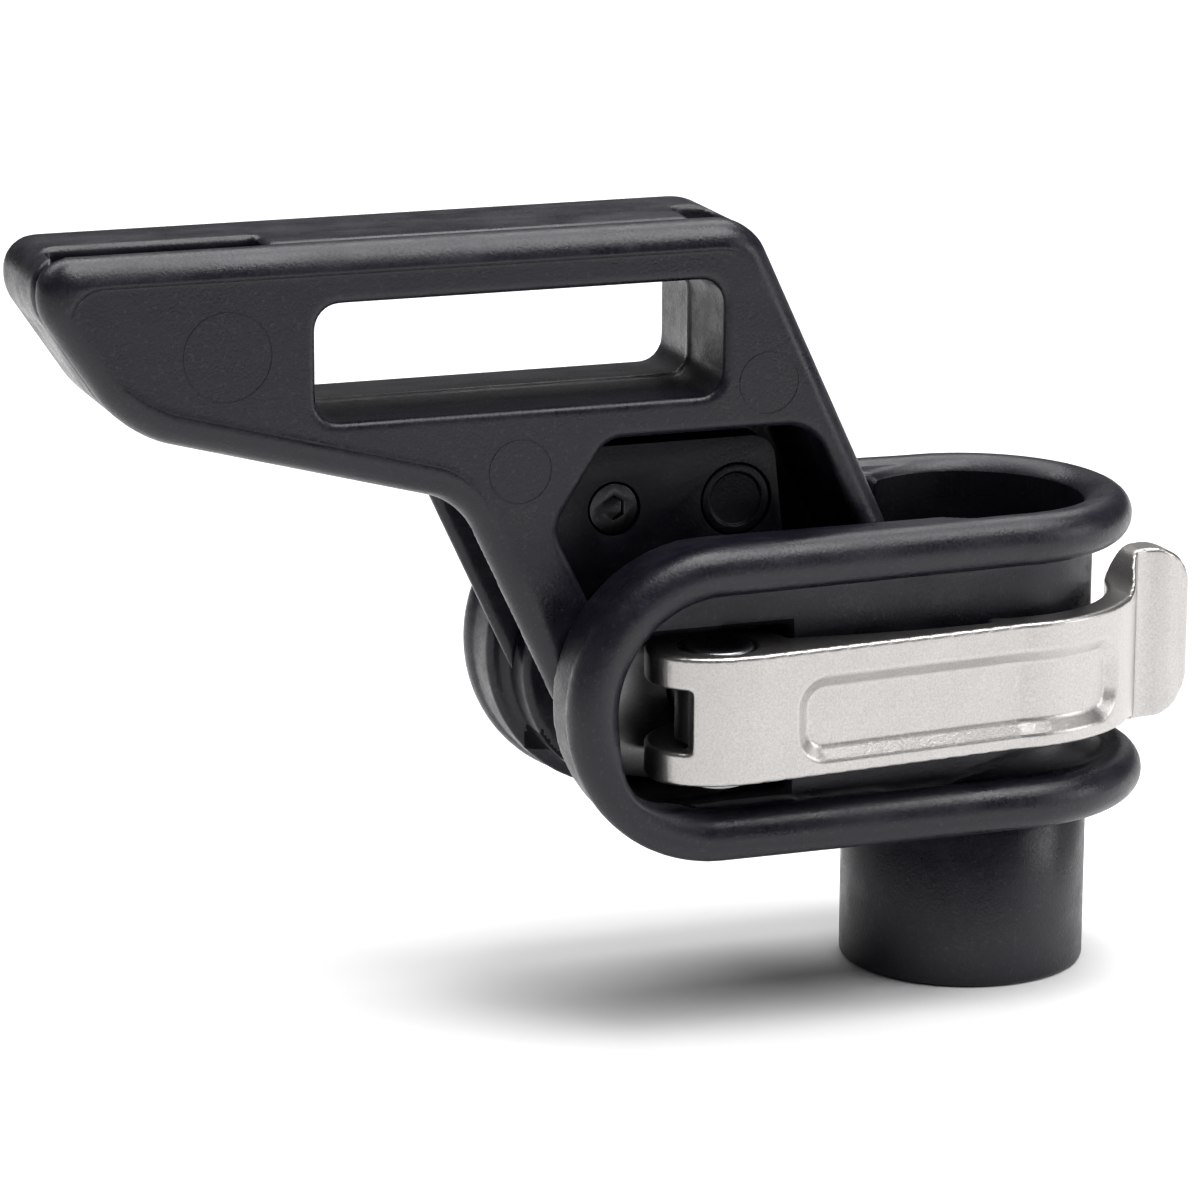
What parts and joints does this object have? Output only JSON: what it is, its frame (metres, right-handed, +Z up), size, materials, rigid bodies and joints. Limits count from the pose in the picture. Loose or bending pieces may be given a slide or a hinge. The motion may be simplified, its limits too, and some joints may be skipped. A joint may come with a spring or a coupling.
{
  "type": "umbrella swivel bracket",
  "caption": "Tilting bracket for an umbrella: a slotted arm between two ears of a split collar that turns on a pole socket, all locked by one wrap-around cam lever.",
  "frame": {"origin": "on the socket's axis at its lower end", "axes": "+Z up along the socket, +X from the ears towards the socket, -Y on the cam lever's side"},
  "size_m": [0.1469, 0.0455, 0.0955],
  "materials": {
    "moulded_nylon": "fine spark-eroded grain, satin",
    "satin_alloy": "bead-blasted and clear anodised",
    "steel": "dull zinc plated",
    "acetal": "smooth",
    "bronze": "sintered"
  },
  "bodies": {
    "socket": {"socket_tube": "moulded_nylon", "socket_snap_ring": "steel", "thrust_washer": "acetal"},
    "collar": {"clamp_collar": "moulded_nylon", "tension_rod": "steel", "cam_saddle": "steel", "rear_washer": "steel", "nut_lock_washer": "steel", "rear_lock_nut": "steel", "front_friction_disc": "acetal", "rear_friction_disc": "acetal", "release_spring": "steel"},
    "lever": {"cam_lever": "satin_alloy", "lever_pin": "steel", "pin_clip": "steel"},
    "arm": {"swivel_arm": "moulded_nylon", "hub_core": "moulded_nylon", "core_screw": "steel", "core_dowel": "moulded_nylon", "pivot_bush": "bronze"}
  },
  "joints": [
    {"name": "collar_swivel", "type": "hinge", "parent": "socket", "child": "collar", "pos_m": [0, 0, 0.02], "axis": [0, 0, 1], "continuous": true},
    {"name": "arm_tilt", "type": "hinge", "parent": "collar", "child": "arm", "pos_m": [-0.0393, 0, 0.0392], "axis": [0, -1, 0], "range_deg": [0, 90]},
    {"name": "lever_open", "type": "hinge", "parent": "collar", "child": "lever", "pos_m": [-0.0393, -0.0174, 0.0392], "axis": [0, 0, -1], "range_deg": [0, 90]}
  ]
}
